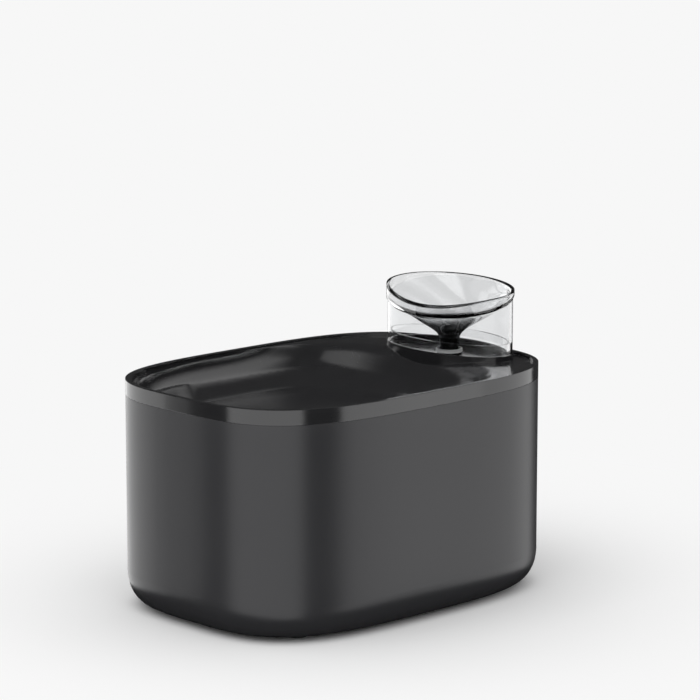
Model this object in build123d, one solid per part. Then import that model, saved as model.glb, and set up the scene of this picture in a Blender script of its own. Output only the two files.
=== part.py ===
"""Countertop pet water fountain: tank, drinking tray, filter cassette, pump, riser tube and funnel spout.

Millimetres, +Z up. The origin is on the surface that the feet stand on, under the middle of the tank.
+X points to the spout end, -X to the filter end. Everything is drawn assembled.
"""

from build123d import *
from math import acos, asin, atan, cos, degrees, pi, radians, sin, sqrt, tanh
import os

# Plan outline that the tank and the tray share
HALF_LENGTH = 115.0
HALF_WIDTH = 83.0
CORNER_POWER = 3.4
OUTLINE_POINTS = 40

# Tank
FOOT_DROP = 2.0
TANK_RIM = 120.4
WALL = 2.4
FLOOR_THICKNESS = 3.0
BASE_CURVE_IN = 11.0
BASE_CURVE_UP = 18.5
RIM_ROUND = 0.8

# Rubber feet
FOOT_RADIUS = 7.0
FOOT_HEIGHT = 3.6
FOOT_X = 77.0
FOOT_Y = 52.0

# Cable outlet in the rear wall
OUTLET_X = 30.0
OUTLET_Z = 99.0
OUTLET_BOSS_RADIUS = 10.0
OUTLET_BOSS_FACE = 75.0
OUTLET_RECESS_RADIUS = 7.6
OUTLET_HOLE_RADIUS = 4.6
OUTLET_BORE_RADIUS = 3.2

# Drinking tray
FLANGE_HEIGHT = 8.3
TRAY_RIM = TANK_RIM + FLANGE_HEIGHT
SKIRT_INSET = 3.0
SKIRT_BOTTOM = TANK_RIM - 4.7
TRAY_WALL = 2.2
LIP_WIDTH = 2.6
DECK_DROP = 1.6
DECK = TRAY_RIM - DECK_DROP
BOWL_FLOOR = TRAY_RIM - 22.9
BOWL_LEFT_TOP = -(HALF_LENGTH - LIP_WIDTH)
BOWL_LEFT_FLOOR = -100.0
BOWL_LEFT_POWER = 3.0
BOWL_RIGHT_TOP = 78.0
BOWL_RIGHT_FLOOR = 42.0
BOWL_SIDE_FLOOR = 54.0
BOWL_SIDE_ANGLE = 65.0
BOWL_LEVELS = (0.0, 0.12, 0.3, 0.55, 0.8, 1.0)

# Oval seat that the spout plugs into
SPOUT_X = 91.0
SEAT_HALF_X = 23.7
SEAT_HALF_Y = 46.0
SEAT_RISE = 1.6
SEAT_TOP = TRAY_RIM + SEAT_RISE
SEAT_WALL = 1.4
SEAT_FLOOR = 125.7
STEM_HOLE_RADIUS = 7.1

# Filter housing under the -X end of the tray
HOUSING_INSET = 2.9
HOUSING_INNER_X = -84.5
HOUSING_HALF_Y = 38.5
HOUSING_CORNER = 7.0
HOUSING_BOTTOM = 104.0
SHELF_TOP = 112.0
SHELF_UNDERSIDE = SHELF_TOP - TRAY_WALL
HOUSING_WALL = 1.7
LATCH_WINDOW_Y = 2.5
LATCH_WINDOW = (5.4, 2.4)
GRILLE_HALF_Y = 31.0
GRILLE_X = (-106.0, -89.0)
GRILLE_THICKNESS = 1.1
GRILLE_LEDGE = 1.2
GRILLE_SLOTS = 11

# Filter cassette that closes the housing from below
CASSETTE_BOTTOM = 96.6
CASSETTE_TOP = 107.5
CASSETTE_FIT = 0.3
CASSETTE_WALL = 1.5
CASSETTE_FLOOR = 1.6
NOTCH_Y = 27.0
NOTCH = (14.0, 3.6)
DRAIN_SLOTS = 9

# Filter that drops into the cassette
FILTER_FLANGE = 1.5
FILTER_DEPTH = 5.0
FILTER_WALL = 1.2

# Funnel spout
STEM_RADIUS = 6.7
STEM_BORE = 4.6
STEM_BOTTOM = 107.0
STEM_TOP = 129.3
NECK_RADIUS = 5.35
NECK_SEAT = 126.3
SHROUD_HALF_X = 23.7
SHROUD_HALF_Y = 45.2
SHROUD_WALL = 1.6
SHROUD_FOOT_GAP = 0.4
SHROUD_FOOT_TOP = 136.5
SHROUD_TOP = 172.0
BOWL_WALL = 1.9
FUNNEL_NECK = 5.9
FLARE_START = 138.0
FUNNEL_HALF_X = 24.0
FUNNEL_HALF_Y = 46.5
FUNNEL_LEAN = 0.41
FUNNEL_LEVELS = 10
RIM_PROFILE = ((62.0, 152.5), (67.0, 156.8), (72.0, 160.2), (80.0, 163.4), (95.0, 166.0), (117.0, 169.3))

# Riser tube
TUBE_RADIUS = 7.8
TUBE_BORE = 7.0
TUBE_TOP = 121.0
TUBE_BOTTOM = 44.0
TUBE_FLANGE_RADIUS = 10.5
TUBE_COLLAR_RADIUS = 8.9

# Pump on the tank floor
PUMP_AXIS_Z = 25.0
PUMP_BASE = 9.0
PUMP_TOP = 41.0
PUMP_BACK = 46.0
PUMP_FACE = 84.0
PUMP_HALF_Y = 17.0
VOLUTE_FRONT = 98.0
VOLUTE_RADIUS = 15.6
CHAMBER_RADIUS = 13.2
CHAMBER_FRONT = 95.6
ROTOR_WELL_RADIUS = 9.4
ROTOR_WELL_END = 55.0
SHAFT_RADIUS = 1.5
MAGNET_RADIUS = 8.6
IMPELLER_RADIUS = 12.0
IMPELLER_BLADES = 6
NIPPLE_RADIUS = 5.6
NIPPLE_TOP = 52.0
NIPPLE_PAD = 41.5
NIPPLE_PAD_RADIUS = 7.0
EYE_RADIUS = 8.0
HUB_RADIUS = 4.2
SCREEN_FRONT = 104.5
GLAND_BORE_RADIUS = 2.1
IMPELLER_BACK = PUMP_FACE + 0.6
FIT = 0.03

FLOOR = FOOT_DROP + FLOOR_THICKNESS
SPOUT_AXIS = Location((SPOUT_X, 0, 0))


def rounded_outline(half_x, half_y, height, centre_x=0.0, power=CORNER_POWER, left_power=CORNER_POWER):
    """Flat face whose outline is |x/a|^p + |y/b|^p = 1, at one height. The -X half has its own power."""
    points = []
    for step in range(OUTLINE_POINTS):
        angle = 2 * pi * step / OUTLINE_POINTS
        corner = left_power if cos(angle) < 0 else power
        radius = ((abs(cos(angle)) / half_x) ** corner + (abs(sin(angle)) / half_y) ** corner) ** (-1 / corner)
        points.append((centre_x + radius * cos(angle), radius * sin(angle), height))
    return Face(Wire([Edge.make_spline([Vector(*p) for p in points], periodic=True)]))


def plan(inset, height):
    """The shared plan outline, moved inwards."""
    return rounded_outline(HALF_LENGTH - inset, HALF_WIDTH - inset, height)


def plan_prism(inset, low, high):
    """Upright solid on the shared plan outline."""
    return extrude(plan(inset, low), amount=high - low)


def oval(half_x, half_y, height, centre_x=SPOUT_X):
    """Flat elliptical face about the spout's axis."""
    return Location((centre_x, 0, height)) * Ellipse(half_x, half_y).face()


def oval_prism(half_x, half_y, low, high):
    """Upright elliptical solid about the spout's axis."""
    return extrude(oval(half_x, half_y, low), amount=high - low)


def disc(x, y, low, high, radius):
    """Upright cylinder between two heights."""
    return Location((x, y, (low + high) / 2)) * Cylinder(radius, high - low)


def ring(x, y, low, high, outer, inner):
    """Upright tube between two heights."""
    return disc(x, y, low, high, outer) - disc(x, y, low - 1, high + 1, inner)


def rod_x(low, high, radius, y=0.0, z=PUMP_AXIS_Z):
    """Cylinder along X between two stations."""
    return Location(((low + high) / 2, y, z), (0, 90, 0)) * Cylinder(radius, high - low)


def rod_y(low, high, radius, x=OUTLET_X, z=OUTLET_Z):
    """Cylinder along Y between two stations."""
    return Location((x, (low + high) / 2, z), (90, 0, 0)) * Cylinder(radius, high - low)


def block(x_range, y_range, z_range):
    """Box between limits."""
    size = [high - low for low, high in (x_range, y_range, z_range)]
    middle = [(high + low) / 2 for low, high in (x_range, y_range, z_range)]
    return Location(tuple(middle)) * Box(*size)


# ---------------------------------------------------------------- tank


def tub(inset, base, curve_in, curve_up):
    """Solid tub: upright walls that curve in to a flat base."""
    sections = []
    for angle in (90, 67, 45, 22, 0):
        tuck = curve_in * (1 - cos(radians(angle)))
        height = base + curve_up * (1 - sin(radians(angle)))
        sections.append(plan(inset + tuck, height))
    return loft(sections) + plan_prism(inset, base + curve_up, TANK_RIM)


def foot_places():
    """Centres of the four feet."""
    return [(x, y) for x in (-FOOT_X, FOOT_X) for y in (-FOOT_Y, FOOT_Y)]


def tank_shell():
    """Open tank with a rounded base, pockets for the feet and a boss for the cable outlet."""
    shell = tub(0, FOOT_DROP, BASE_CURVE_IN, BASE_CURVE_UP)
    shell -= tub(WALL, FLOOR, BASE_CURVE_IN - 1, BASE_CURVE_UP - 1.5)
    shell += rod_y(OUTLET_BOSS_FACE, HALF_WIDTH - WALL, OUTLET_BOSS_RADIUS)
    shell -= rod_y(HALF_WIDTH - 1.8, HALF_WIDTH + 1, OUTLET_RECESS_RADIUS)
    shell -= rod_y(OUTLET_BOSS_FACE - 1, HALF_WIDTH + 1, OUTLET_HOLE_RADIUS)
    for x, y in foot_places():
        shell -= disc(x, y, 0, FOOT_HEIGHT, FOOT_RADIUS + FIT)
    return shell


def rubber_feet():
    """Four moulded feet with a rounded tread."""
    feet = []
    for x, y in foot_places():
        foot = disc(x, y, 0, FOOT_HEIGHT, FOOT_RADIUS)
        feet.append(fillet(foot.edges().group_by(Axis.Z)[0], 0.7))
    return Compound(children=feet)


def outlet_grommet():
    """Rubber grommet that the supply cable leaves through, flush with the rear wall."""
    face = HALF_WIDTH - 0.3
    grommet = rod_y(face - 1.4, face, OUTLET_RECESS_RADIUS - 0.1)
    grommet += rod_y(OUTLET_BOSS_FACE - 0.1, face - 1, OUTLET_HOLE_RADIUS - FIT)
    tail = 4.4
    middle = (OUTLET_X, OUTLET_BOSS_FACE - 0.1 - tail / 2, OUTLET_Z)
    grommet += Location(middle, (90, 0, 0)) * Cone(OUTLET_HOLE_RADIUS + 1, OUTLET_HOLE_RADIUS, tail)
    return grommet - rod_y(60, 90, OUTLET_BORE_RADIUS)


# ---------------------------------------------------------------- tray


def bowl_form(grow, drop):
    """Solid in the shape of the drinking bowl: steep round sides, and an S-shaped ramp up to the deck."""
    full = 1 - cos(radians(BOWL_SIDE_ANGLE))
    sections = []
    for level in BOWL_LEVELS:
        side_angle = asin(level * sin(radians(BOWL_SIDE_ANGLE)))
        side = (1 - cos(side_angle)) / full
        ramp = acos(1 - 2 * level) / pi
        left = BOWL_LEFT_TOP + (BOWL_LEFT_FLOOR - BOWL_LEFT_TOP) * side - grow
        right = BOWL_RIGHT_TOP + (BOWL_RIGHT_FLOOR - BOWL_RIGHT_TOP) * ramp + grow
        half_y = HALF_WIDTH - LIP_WIDTH - (HALF_WIDTH - LIP_WIDTH - BOWL_SIDE_FLOOR) * side + grow
        height = DECK - (DECK - BOWL_FLOOR) * level - drop
        middle, half_x = (right + left) / 2, (right - left) / 2
        power, left_power = CORNER_POWER - 0.5 * level, BOWL_LEFT_POWER - 0.2 * level
        sections.append(rounded_outline(half_x, half_y, height, middle, power, left_power))
    return loft(sections[::-1])


def housing_plan(inset, height):
    """Filter housing plan: the tank's end curve outside, a straight inner side with round corners."""
    outer = rounded_outline(
        HALF_LENGTH - HOUSING_INSET - inset, HALF_WIDTH - HOUSING_INSET - inset, height
    )
    length = 40.0
    inner = Rectangle(length, 2 * (HOUSING_HALF_Y - inset))
    inner = fillet(inner.vertices().group_by(Axis.X)[-1], max(HOUSING_CORNER - inset, 1.5))
    inner = Location((HOUSING_INNER_X - inset - length / 2, 0, height)) * inner
    return outer & inner.face()


def housing_prism(inset, low, high):
    """Upright solid on the filter housing plan."""
    return extrude(housing_plan(inset, low), amount=high - low, dir=(0, 0, 1))


def spout_seat():
    """Raised oval collar with a pocket for the shroud's foot and a hole for the stem."""
    seat = oval_prism(SEAT_HALF_X, SEAT_HALF_Y, SKIRT_BOTTOM, TANK_RIM)
    seat &= plan_prism(SKIRT_INSET, SKIRT_BOTTOM, TANK_RIM)
    seat += oval_prism(SEAT_HALF_X, SEAT_HALF_Y, TANK_RIM, SEAT_TOP)
    pocket = (SEAT_HALF_X - SEAT_WALL, SEAT_HALF_Y - SEAT_WALL)
    seat -= oval_prism(*pocket, SEAT_FLOOR, SEAT_TOP + 1)
    seat -= oval_prism(pocket[0] - 2.4, pocket[1] - 2.4, SKIRT_BOTTOM - 1, SEAT_FLOOR - TRAY_WALL)
    return seat - disc(SPOUT_X, 0, SKIRT_BOTTOM, SEAT_TOP, STEM_HOLE_RADIUS)


def lid_tray():
    """Drinking tray: flange, plug skirt, bowl with a ramp and an overflow shelf, deck and spout seat."""
    tray = plan_prism(0, TANK_RIM, TRAY_RIM) + plan_prism(SKIRT_INSET, SKIRT_BOTTOM, TANK_RIM)
    tray -= plan_prism(SKIRT_INSET + TRAY_WALL, SKIRT_BOTTOM, DECK - TRAY_WALL)
    tray += bowl_form(1.5, TRAY_WALL) & plan_prism(SKIRT_INSET, BOWL_FLOOR - TRAY_WALL, DECK)
    tray += housing_prism(0, SHELF_UNDERSIDE, SKIRT_BOTTOM + 0.5)
    tray -= housing_prism(-0.1, BOWL_FLOOR - TRAY_WALL - 1, SHELF_UNDERSIDE)
    tray -= plan_prism(LIP_WIDTH, DECK, TRAY_RIM + 1)
    tray -= bowl_form(0, 0) - housing_prism(-TRAY_WALL, BOWL_FLOOR - 1, SHELF_TOP)
    tray -= oval_prism(SEAT_HALF_X - 0.2, SEAT_HALF_Y - 0.2, SKIRT_BOTTOM - 1, TRAY_RIM + 5)
    tray += spout_seat()
    left, right = GRILLE_X
    ledge = GRILLE_LEDGE
    seat_z = SHELF_TOP - GRILLE_THICKNESS - FIT
    tray -= block(GRILLE_X, (-GRILLE_HALF_Y, GRILLE_HALF_Y), (seat_z, SHELF_TOP + 1))
    tray -= block(
        (left + ledge, right - ledge),
        (ledge - GRILLE_HALF_Y, GRILLE_HALF_Y - ledge),
        (SHELF_UNDERSIDE - 1, SHELF_TOP),
    )
    return tray


def filter_housing():
    """Open-ended box under the overflow shelf that the cassette plugs into, with a latch window."""
    housing = housing_prism(0, HOUSING_BOTTOM, SHELF_UNDERSIDE)
    housing -= housing_prism(HOUSING_WALL, HOUSING_BOTTOM - 1, SHELF_UNDERSIDE + 1)
    width, height = LATCH_WINDOW
    low = HOUSING_BOTTOM + 1.2
    housing -= block(
        (-HALF_LENGTH, -HALF_LENGTH + 8),
        (LATCH_WINDOW_Y - width / 2, LATCH_WINDOW_Y + width / 2),
        (low, low + height),
    )
    return housing


def drain_grille():
    """Slotted strainer set in the overflow shelf, above the filter."""
    left, right = GRILLE_X
    grille = block(
        (left + FIT, right - FIT),
        (-GRILLE_HALF_Y + FIT, GRILLE_HALF_Y - FIT),
        (SHELF_TOP - GRILLE_THICKNESS, SHELF_TOP),
    )
    pitch = 2 * (GRILLE_HALF_Y - GRILLE_LEDGE) / GRILLE_SLOTS
    for slot in range(GRILLE_SLOTS):
        middle = (slot - (GRILLE_SLOTS - 1) / 2) * pitch
        grille -= block((left + 2.2, right - 2.2), (middle - 1.4, middle + 1.4), (100, 120))
    return grille


def stem_seal():
    """Silicone washer under the seat, around the spout's stem."""
    top = SEAT_FLOOR - TRAY_WALL
    return ring(SPOUT_X, 0, top - 2.0, top, 10.4, STEM_RADIUS + 0.1)


# ---------------------------------------------------------------- filter


def cassette_frame():
    """Filter cassette: a rim that plugs into the housing on a flush lower body with a slotted floor."""
    rim_inset = HOUSING_WALL + CASSETTE_FIT
    body = housing_prism(0, CASSETTE_BOTTOM, HOUSING_BOTTOM)
    body += housing_prism(rim_inset, HOUSING_BOTTOM, CASSETTE_TOP)
    body -= housing_prism(rim_inset + CASSETTE_WALL, CASSETTE_BOTTOM + CASSETTE_FLOOR, CASSETTE_TOP + 1)
    width, height = NOTCH
    for side in (-1, 1):
        low = HOUSING_BOTTOM - 1.4 - height
        body -= block(
            (-HALF_LENGTH, -HALF_LENGTH + HOUSING_INSET + 3.6),
            (side * NOTCH_Y - width / 2, side * NOTCH_Y + width / 2),
            (low, low + height),
        )
    pitch = 6.6
    for slot in range(DRAIN_SLOTS):
        middle = (slot - (DRAIN_SLOTS - 1) / 2) * pitch
        body -= block((-105, -91), (middle - 1.5, middle + 1.5), (CASSETTE_BOTTOM - 1, CASSETTE_BOTTOM + 3))
    return body


def filter_frame():
    """Thin open frame of the filter, with a flange that rests on the cassette's rim."""
    outer = HOUSING_WALL + CASSETTE_FIT
    inner = outer + CASSETTE_WALL + 0.4
    bottom, top = CASSETTE_TOP - FILTER_DEPTH, CASSETTE_TOP + FILTER_FLANGE
    frame = housing_prism(outer, CASSETTE_TOP, top) + housing_prism(inner, bottom, CASSETTE_TOP)
    return frame - housing_prism(inner + FILTER_WALL, bottom - 1, top + 1)


def filter_felt():
    """Upper felt sheet, slightly crowned over the carbon."""
    inset = HOUSING_WALL + CASSETTE_FIT + CASSETTE_WALL + 0.4 + FILTER_WALL
    return housing_prism(inset, CASSETTE_TOP - 0.8, CASSETTE_TOP + FILTER_FLANGE - 0.3)


def filter_carbon():
    """Bed of carbon granules, held as one closed form."""
    inset = HOUSING_WALL + CASSETTE_FIT + CASSETTE_WALL + 0.4 + FILTER_WALL
    return housing_prism(inset, CASSETTE_TOP - FILTER_DEPTH + 0.9, CASSETTE_TOP - 0.8)


def filter_backing():
    """Lower felt sheet that keeps the granules in."""
    inset = HOUSING_WALL + CASSETTE_FIT + CASSETTE_WALL + 0.4 + FILTER_WALL
    return housing_prism(inset, CASSETTE_TOP - FILTER_DEPTH, CASSETTE_TOP - FILTER_DEPTH + 0.9)


# ---------------------------------------------------------------- spout


def funnel_section(half_y, inset, rise):
    """Oval slice of the funnel: the wider it is, the longer, the higher and the more it leans to the lip."""
    spread = half_y - FUNNEL_NECK
    half_x = FUNNEL_NECK + (FUNNEL_HALF_X - FUNNEL_NECK) * tanh(spread / 15.5)
    height = FLARE_START + 2.3 * sqrt(spread) + 0.0042 * spread * spread
    lean = FUNNEL_LEAN * max(0.0, (half_y - 20) / (FUNNEL_HALF_Y - 20)) ** 1.5
    slice_face = Ellipse((half_x - inset) / cos(atan(lean)), half_y - inset).face()
    return Location((SPOUT_X, 0, height + rise), (0, -degrees(atan(lean)), 0)) * slice_face


def funnel_form(inset, rise):
    """Solid in the shape of the funnel: a round neck, a leaning oval flare and an upright band above it."""
    neck = NECK_RADIUS - inset
    sections = [oval(neck, neck, NECK_SEAT + rise), oval(neck, neck, STEM_TOP + rise)]
    for level in range(FUNNEL_LEVELS):
        half_y = FUNNEL_NECK + (FUNNEL_HALF_Y - FUNNEL_NECK) * (level / (FUNNEL_LEVELS - 1)) ** 1.3
        sections.append(funnel_section(half_y, inset, rise))
    sections.append(Location((0, 0, 40)) * sections[-1])
    return loft(sections, ruled=True)


def above_rim(lift):
    """Everything above the funnel's rim line, which dips to the pouring lip."""
    line = Spline(*[(x, 0, z + lift) for x, z in RIM_PROFILE])
    start, end = line @ 0, line @ 1
    roof = Polyline(end, (end.X, 0, 220), (start.X, 0, 220), start)
    face = Face(Wire([*line.edges(), *roof.edges()]))
    return extrude(face, amount=70, both=True)


def spout_bowl():
    """Thin-walled funnel bowl with a sloping rim and a low pouring lip."""
    bowl = funnel_form(0, 0) - funnel_form(BOWL_WALL, 1.2)
    bowl -= disc(SPOUT_X, 0, NECK_SEAT - 1, 140, NECK_RADIUS - BOWL_WALL)
    return bowl - above_rim(0)


def spout_shroud():
    """Clear oval skirt under the funnel: it stands on the seat, and a foot inside it plugs into the pocket."""
    wall = SHROUD_WALL
    shroud = oval_prism(SHROUD_HALF_X, SHROUD_HALF_Y, SEAT_TOP, SHROUD_TOP)
    shroud -= oval_prism(SHROUD_HALF_X - wall, SHROUD_HALF_Y - wall, SEAT_TOP + wall, SHROUD_TOP + 1)
    foot_x = SEAT_HALF_X - SEAT_WALL - SHROUD_FOOT_GAP
    foot_y = SEAT_HALF_Y - SEAT_WALL - SHROUD_FOOT_GAP
    shroud += oval_prism(foot_x, foot_y, SEAT_FLOOR, SHROUD_FOOT_TOP)
    shroud -= oval_prism(foot_x - wall, foot_y - wall, SEAT_FLOOR - 1, SHROUD_FOOT_TOP + 1)
    return shroud - funnel_form(0, 0)


def spout_stem():
    """Clear stem that carries water up from the riser tube, with a socket for the funnel's neck."""
    stem = disc(SPOUT_X, 0, STEM_BOTTOM, STEM_TOP, STEM_RADIUS)
    stem -= disc(SPOUT_X, 0, STEM_BOTTOM - 1, NECK_SEAT, STEM_BORE)
    stem -= disc(SPOUT_X, 0, NECK_SEAT, STEM_TOP + 1, NECK_RADIUS + FIT)
    return stem


def spout_ring():
    """Soft sealing ring round the top of the stem."""
    return ring(SPOUT_X, 0, STEM_TOP - 2.4, STEM_TOP - 0.4, STEM_RADIUS + 0.9, STEM_RADIUS)


# ---------------------------------------------------------------- riser


def riser_tube():
    """Rigid tube from the pump to the spout's stem, with a flared mouth and a socket at its foot."""
    tube = disc(SPOUT_X, 0, TUBE_BOTTOM, TUBE_TOP, TUBE_RADIUS)
    tube += disc(SPOUT_X, 0, TUBE_TOP - 2.6, TUBE_TOP, TUBE_FLANGE_RADIUS)
    flare = Location((SPOUT_X, 0, TUBE_TOP - 4.4)) * Cone(TUBE_COLLAR_RADIUS, TUBE_FLANGE_RADIUS - 0.4, 3.6)
    tube += flare
    tube += disc(SPOUT_X, 0, TUBE_TOP - 8.2, TUBE_TOP - 6.1, TUBE_COLLAR_RADIUS)
    tube -= disc(SPOUT_X, 0, TUBE_BOTTOM + 8.4, TUBE_TOP + 1, TUBE_BORE)
    tube -= disc(SPOUT_X, 0, TUBE_BOTTOM - 1, TUBE_BOTTOM + 8.5, NIPPLE_RADIUS + 0.1)
    return tube


# ---------------------------------------------------------------- pump


def pump_body():
    """Potted motor block with the rotor well open at its face."""
    body = block((PUMP_BACK, PUMP_FACE), (-PUMP_HALF_Y, PUMP_HALF_Y), (PUMP_BASE, PUMP_TOP))
    body = fillet(body.edges().filter_by(Axis.X), 5)
    body = fillet(body.faces().sort_by(Axis.X)[0].edges(), 2)
    for rib in range(4):
        x = PUMP_BACK + 8 + rib * 8
        body += block((x, x + 2), (-PUMP_HALF_Y - 1, PUMP_HALF_Y + 1), (PUMP_BASE + 6, PUMP_TOP - 6))
    body -= rod_x(ROTOR_WELL_END, PUMP_FACE + 1, ROTOR_WELL_RADIUS)
    body -= rod_x(ROTOR_WELL_END - 4, ROTOR_WELL_END + 1, 3.2)
    return body


def pump_volute():
    """Impeller chamber with a spoked eye in front and the outlet nipple on top."""
    case = rod_x(PUMP_FACE, VOLUTE_FRONT, VOLUTE_RADIUS)
    case += block((PUMP_FACE, VOLUTE_FRONT), (-VOLUTE_RADIUS, VOLUTE_RADIUS), (PUMP_BASE, PUMP_AXIS_Z))
    case += disc(SPOUT_X, 0, PUMP_AXIS_Z, NIPPLE_PAD, NIPPLE_PAD_RADIUS)
    case += disc(SPOUT_X, 0, PUMP_AXIS_Z, NIPPLE_TOP, NIPPLE_RADIUS)
    case -= rod_x(PUMP_FACE - 1, CHAMBER_FRONT, CHAMBER_RADIUS)
    case -= rod_x(CHAMBER_FRONT - 1, VOLUTE_FRONT + 1, EYE_RADIUS)
    case -= disc(SPOUT_X, 0, PUMP_AXIS_Z + 5, NIPPLE_TOP + 1, 3.8)
    hub = rod_x(CHAMBER_FRONT, VOLUTE_FRONT, HUB_RADIUS)
    for turn in (0, 120, 240):
        spoke = block((CHAMBER_FRONT, VOLUTE_FRONT), (-1.1, 1.1), (PUMP_AXIS_Z, PUMP_AXIS_Z + EYE_RADIUS + 1))
        hub += spoke.rotate(Axis((0, 0, PUMP_AXIS_Z), (1, 0, 0)), turn)
    hub -= rod_x(CHAMBER_FRONT - 1, VOLUTE_FRONT - 0.8, 2.6)
    return case + hub


def intake_screen():
    """Slotted cap that keeps hair out of the pump's eye."""
    cap = rod_x(VOLUTE_FRONT, SCREEN_FRONT, VOLUTE_RADIUS - 0.6)
    cap = fillet(cap.edges().sort_by(Axis.X)[-1], 2)
    cap -= rod_x(VOLUTE_FRONT - 1, SCREEN_FRONT - 1.5, VOLUTE_RADIUS - 2.2)
    for slot in range(-3, 4):
        y = slot * 3.6
        slot_z = (PUMP_AXIS_Z - 9, PUMP_AXIS_Z + 9)
        cap -= block((SCREEN_FRONT - 3, SCREEN_FRONT + 1), (y - 0.9, y + 0.9), slot_z)
    return cap


def suction_cups():
    """Four suction cups under the motor block."""
    cups = []
    for x in (PUMP_BACK + 7, PUMP_FACE - 7):
        for y in (-PUMP_HALF_Y + 7, PUMP_HALF_Y - 7):
            cup = Location((x, y, FLOOR + 1.0)) * Cone(6.0, 3.4, 2.0)
            cup += disc(x, y, FLOOR + 2.0, PUMP_BASE, 2.6)
            cups.append(cup)
    return Compound(children=cups)


def rotor_shaft():
    """Fixed ceramic shaft that the rotor turns on."""
    return rod_x(ROTOR_WELL_END - 3 + FIT, VOLUTE_FRONT - 1 - FIT, SHAFT_RADIUS)


def shaft_bushes():
    """Rubber bushes that hold the shaft at the bottom of the well and in the spoked hub."""
    rear = rod_x(ROTOR_WELL_END - 4 + FIT, ROTOR_WELL_END, 3.2 - FIT)
    front = rod_x(CHAMBER_FRONT, VOLUTE_FRONT - 0.8 - FIT, 2.6 - FIT)
    bore = rod_x(ROTOR_WELL_END - 3, VOLUTE_FRONT - 1, SHAFT_RADIUS + FIT)
    return Compound(children=[rear - bore, front - bore])


def rotor_magnet():
    """Cylindrical magnet of the rotor."""
    return rod_x(ROTOR_WELL_END + 1.5, IMPELLER_BACK, MAGNET_RADIUS) - rod_x(0, 200, SHAFT_RADIUS + 0.06)


def impeller():
    """Backplate with curved blades, moulded on the front of the magnet."""
    back = IMPELLER_BACK
    wheel = rod_x(back, back + 1.8, IMPELLER_RADIUS)
    wheel += rod_x(back, CHAMBER_FRONT - 0.8, 3.4)
    blade_front = CHAMBER_FRONT - 1.2
    for blade in range(IMPELLER_BLADES):
        arc = ThreePointArc((0, 2.6), (1.9, 7.0), (0.6, 11.2))
        vane = extrude(make_face(offset(arc, amount=0.6, side=Side.BOTH)), amount=blade_front - back)
        vane = Location((back, 0, PUMP_AXIS_Z), (0, 90, 0)) * vane
        wheel += vane.rotate(Axis((0, 0, PUMP_AXIS_Z), (1, 0, 0)), blade * 360 / IMPELLER_BLADES)
    return wheel - rod_x(0, 200, SHAFT_RADIUS + 0.06)


def pump_gland():
    """Rubber gland where the supply cable enters the motor block."""
    gland = Location((PUMP_BACK - 3.5, 0, PUMP_AXIS_Z + 8), (0, -90, 0)) * Cone(4.2, 3.0, 7)
    return gland - rod_x(PUMP_BACK - 8, PUMP_BACK - 1.5, GLAND_BORE_RADIUS, 0, PUMP_AXIS_Z + 8)


def nipple_seal():
    """Sealing washer between the pump's top and the riser's foot."""
    return ring(SPOUT_X, 0, NIPPLE_PAD, TUBE_BOTTOM - 0.3, NIPPLE_PAD_RADIUS, NIPPLE_RADIUS + FIT)


PIECES = {
    "tank_shell": tank_shell,
    "rubber_feet": rubber_feet,
    "outlet_grommet": outlet_grommet,
    "lid_tray": lid_tray,
    "filter_housing": filter_housing,
    "drain_grille": drain_grille,
    "stem_seal": stem_seal,
    "cassette_frame": cassette_frame,
    "filter_frame": filter_frame,
    "filter_felt": filter_felt,
    "filter_carbon": filter_carbon,
    "filter_backing": filter_backing,
    "spout_bowl": spout_bowl,
    "spout_shroud": spout_shroud,
    "spout_stem": spout_stem,
    "spout_ring": spout_ring,
    "riser_tube": riser_tube,
    "pump_body": pump_body,
    "pump_volute": pump_volute,
    "intake_screen": intake_screen,
    "suction_cups": suction_cups,
    "rotor_shaft": rotor_shaft,
    "shaft_bushes": shaft_bushes,
    "rotor_magnet": rotor_magnet,
    "impeller": impeller,
    "pump_gland": pump_gland,
    "nipple_seal": nipple_seal,
}

os.makedirs("parts", exist_ok=True)
for name, make in PIECES.items():
    export_step(make(), f"parts/{name}.step")
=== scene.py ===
"""Countertop pet water fountain in a pale studio, in metres.

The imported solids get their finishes, and three of them are replaced by pieces with more shape: the tray's
shell, the clear funnel and the riser tube. +X is the spout end, -X the filter end, and -Y the front.
"""

import logging
import math
from dataclasses import dataclass, field
from enum import Enum

import bmesh
import bpy
from mathutils import Matrix, Vector


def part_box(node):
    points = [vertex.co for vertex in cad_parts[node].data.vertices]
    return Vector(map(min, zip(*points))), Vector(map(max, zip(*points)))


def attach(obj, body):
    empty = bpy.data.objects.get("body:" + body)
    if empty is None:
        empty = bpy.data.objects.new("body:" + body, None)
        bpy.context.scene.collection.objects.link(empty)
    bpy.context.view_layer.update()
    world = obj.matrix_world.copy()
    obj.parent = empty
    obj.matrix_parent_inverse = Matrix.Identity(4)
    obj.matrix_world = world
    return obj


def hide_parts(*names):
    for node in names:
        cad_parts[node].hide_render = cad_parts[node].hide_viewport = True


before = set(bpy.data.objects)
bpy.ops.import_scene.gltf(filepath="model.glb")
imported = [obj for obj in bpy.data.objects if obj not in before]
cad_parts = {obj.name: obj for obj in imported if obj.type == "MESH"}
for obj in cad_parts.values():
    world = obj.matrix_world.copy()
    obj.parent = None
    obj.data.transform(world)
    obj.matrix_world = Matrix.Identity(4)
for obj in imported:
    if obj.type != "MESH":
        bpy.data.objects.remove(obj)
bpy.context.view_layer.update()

LOG = logging.getLogger("pet_fountain")
MM = 0.001
Point = tuple[float, float, float]
Colour = tuple[float, float, float]
Node = bpy.types.Node
Socket = bpy.types.NodeSocket


class Body(Enum):
    """The bodies that the pieces ride on."""

    TANK = "tank"
    LID = "lid"
    CASSETTE = "cassette"
    FILTER = "filter"
    SPOUT = "spout"
    RISER = "riser"
    ROTOR = "rotor"


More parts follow.
